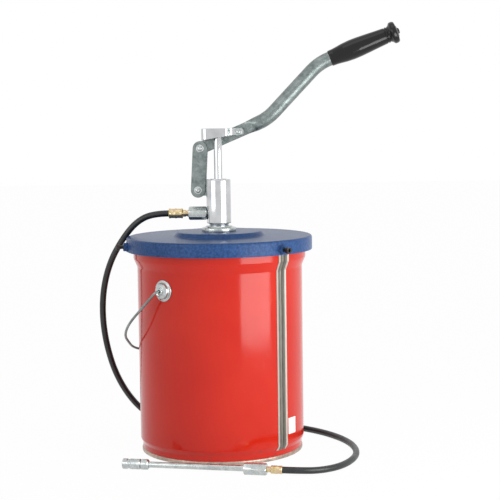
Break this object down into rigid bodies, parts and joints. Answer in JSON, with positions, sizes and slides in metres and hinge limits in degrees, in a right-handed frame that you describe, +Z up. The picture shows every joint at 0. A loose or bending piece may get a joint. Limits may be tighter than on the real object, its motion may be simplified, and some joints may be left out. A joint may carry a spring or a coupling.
{
  "type": "gear oil pump",
  "caption": "Hand lever oil pump on a steel pail, with a linked lever, a clamped lid, a wire bail and a hose with a floor lance.",
  "frame": {"origin": "centre of the pail's base, on the surface it stands on", "axes": "+Z up along the pump rod, +X towards the lever's handle, -Y the front that shows the link plates and the label"},
  "size_m": [0.504, 0.3623, 0.6956],
  "materials": {
    "red_enamel": "gloss",
    "tin_plate": "satin",
    "blue_hammered": "hammered gloss",
    "zinc_plate": "satin",
    "chrome": "polished",
    "black_steel": "satin",
    "black_rubber": "satin",
    "black_vinyl": "gloss",
    "brass": "satin",
    "steel": "satin",
    "white_paper": "matt",
    "seal_plastic": "matt"
  },
  "bodies": {
    "pail": {"pail_shell": "red_enamel", "pail_bottom": "tin_plate", "side_seam": "tin_plate", "blank_label": "white_paper", "bail_ears": "zinc_plate", "lid": "blue_hammered", "lid_gasket": "black_rubber", "clamp_nuts": "blue_hammered", "flange_nut": "zinc_plate", "flange_gasket": "black_rubber", "backing_nut": "steel", "pump_body": "chrome", "gland_nut": "chrome", "rod_packing": "seal_plastic", "fulcrum_lug": "zinc_plate", "barrel_tube": "steel", "foot_valve_body": "steel", "foot_valve_stop": "steel", "strainer": "steel", "outlet_adaptor": "zinc_plate", "outlet_nipple": "brass", "outlet_ferrule": "brass", "hose": "black_rubber", "lance_ferrule": "brass", "lance_nipple": "brass", "lance_hex": "zinc_plate", "lance_tube": "zinc_plate", "coupler_body": "zinc_plate", "coupler_sleeve": "zinc_plate"},
    "lever": {"lever_bar": "zinc_plate", "lever_grip": "black_vinyl"},
    "rod": {"piston_rod": "chrome", "stirrup": "chrome", "stirrup_pin": "zinc_plate", "stirrup_spacer": "zinc_plate", "piston": "steel", "piston_seal": "black_rubber"},
    "link": {"link_plate_front": "zinc_plate", "link_plate_back": "zinc_plate", "link_top_pin": "zinc_plate", "link_bottom_pin": "zinc_plate"},
    "bail": {"bail_wire": "zinc_plate"},
    "foot_ball": {"foot_valve_ball": "steel"},
    "rod_ball": {"piston_ball": "steel"},
    "screw_a": {"clamp_screw_a": "black_steel"},
    "screw_b": {"clamp_screw_b": "black_steel"},
    "screw_c": {"clamp_screw_c": "black_steel"}
  },
  "joints": [
    {"name": "lever_swing", "type": "hinge", "parent": "rod", "child": "lever", "pos_m": [0.033, 0.0174, 0.5216], "axis": [0, 1, 0], "range_deg": [-3, 44]},
    {"name": "rod_slide", "type": "slide", "parent": "pail", "child": "rod", "axis": [0, 0, -1], "range_m": [-0.004, 0.053]},
    {"name": "link_swing", "type": "hinge", "parent": "pail", "child": "link", "pos_m": [-0.0345, 0.0174, 0.4263], "axis": [0, 1, 0], "range_deg": [-3.5, 0.5]},
    {"name": "bail_swing", "type": "hinge", "parent": "pail", "child": "bail", "pos_m": [0, 0, 0.275], "axis": [0.5948, 0.8039, 0], "range_deg": [0, 46]},
    {"name": "foot_ball_lift", "type": "slide", "parent": "pail", "child": "foot_ball", "axis": [0, 0, 1], "range_m": [0, 0.002]},
    {"name": "rod_ball_lift", "type": "slide", "parent": "rod", "child": "rod_ball", "axis": [0, 0, 1], "range_m": [0, 0.002]},
    {"name": "screw_a_back_off", "type": "slide", "parent": "pail", "child": "screw_a", "axis": [0.7009, -0.7133, 0], "range_m": [0, 0.005]},
    {"name": "screw_b_back_off", "type": "slide", "parent": "pail", "child": "screw_b", "axis": [-0.9681, -0.2504, 0], "range_m": [0, 0.005]},
    {"name": "screw_c_back_off", "type": "slide", "parent": "pail", "child": "screw_c", "axis": [0.2672, 0.9636, 0], "range_m": [0, 0.005]}
  ],
  "couplings": [
    {"joint": "rod_slide", "follows": "lever_swing", "m_per_rad": 0.0664},
    {"joint": "link_swing", "follows": "lever_swing", "ratio": -0.0721}
  ]
}
